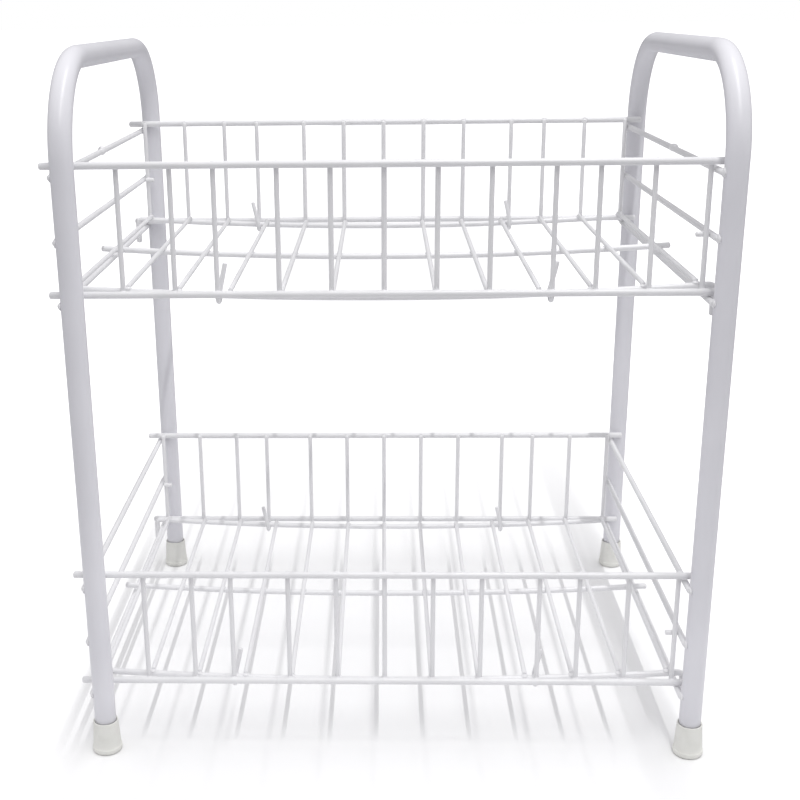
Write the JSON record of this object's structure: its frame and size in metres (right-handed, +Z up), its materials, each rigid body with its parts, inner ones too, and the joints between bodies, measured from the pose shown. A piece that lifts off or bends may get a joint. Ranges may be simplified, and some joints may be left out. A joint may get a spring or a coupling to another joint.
{
  "type": "two-tier wire basket organizer",
  "caption": "Free-standing white rack: arched tube end frames with foot caps carry two open wire baskets, hooked in one above the other, to hold jars and packets.",
  "frame": {"origin": "on the floor, in the middle of the overall width and depth", "axes": "+Z up, +X from the left end frame to the right one, +Y from the front panels to the rear panels"},
  "size_m": [0.367, 0.2834, 0.4024],
  "materials": {
    "tube_paint": "smooth semi-gloss white powder coat on bent steel tube",
    "wire_paint": "semi-gloss white powder coat on welded steel wire",
    "cap_plastic": "matte light grey moulded plastic"
  },
  "bodies": {
    "stand": {"left_end_tube": "tube_paint", "right_end_tube": "tube_paint", "front_left_foot_cap": "cap_plastic", "rear_left_foot_cap": "cap_plastic", "front_right_foot_cap": "cap_plastic", "rear_right_foot_cap": "cap_plastic", "left_lower_bottom_crossbar": "wire_paint", "left_lower_middle_crossbar": "wire_paint", "left_lower_top_crossbar": "wire_paint", "left_upper_bottom_crossbar": "wire_paint", "left_upper_middle_crossbar": "wire_paint", "left_upper_top_crossbar": "wire_paint", "right_lower_bottom_crossbar": "wire_paint", "right_lower_middle_crossbar": "wire_paint", "right_lower_top_crossbar": "wire_paint", "right_upper_bottom_crossbar": "wire_paint", "right_upper_middle_crossbar": "wire_paint", "right_upper_top_crossbar": "wire_paint"},
    "upper_floor": {"upper_floor_grid": "wire_paint"},
    "upper_front": {"upper_front_panel": "wire_paint"},
    "upper_rear": {"upper_rear_panel": "wire_paint"},
    "lower_floor": {"lower_floor_grid": "wire_paint"},
    "lower_front": {"lower_front_panel": "wire_paint"},
    "lower_rear": {"lower_rear_panel": "wire_paint"}
  },
  "joints": [
    {"name": "upper_basket_lift", "type": "slide", "parent": "stand", "child": "upper_floor", "axis": [0, 0, 1], "range_m": [0, 0.005]},
    {"name": "upper_front_tip", "type": "hinge", "parent": "upper_floor", "child": "upper_front", "pos_m": [-0.00352, -0.11695, 0.27275], "axis": [-1, 0, 0], "range_deg": [0, 17]},
    {"name": "upper_rear_tip", "type": "hinge", "parent": "upper_floor", "child": "upper_rear", "pos_m": [-0.00352, 0.11695, 0.27275], "axis": [1, 0, 0], "range_deg": [0, 17]},
    {"name": "lower_basket_lift", "type": "slide", "parent": "stand", "child": "lower_floor", "axis": [0, 0, 1], "range_m": [0, 0.022]},
    {"name": "lower_front_tip", "type": "hinge", "parent": "lower_floor", "child": "lower_front", "pos_m": [-0.00352, -0.11695, 0.0398], "axis": [-1, 0, 0], "range_deg": [0, 17]},
    {"name": "lower_rear_tip", "type": "hinge", "parent": "lower_floor", "child": "lower_rear", "pos_m": [-0.00352, 0.11695, 0.0398], "axis": [1, 0, 0], "range_deg": [0, 17]}
  ]
}
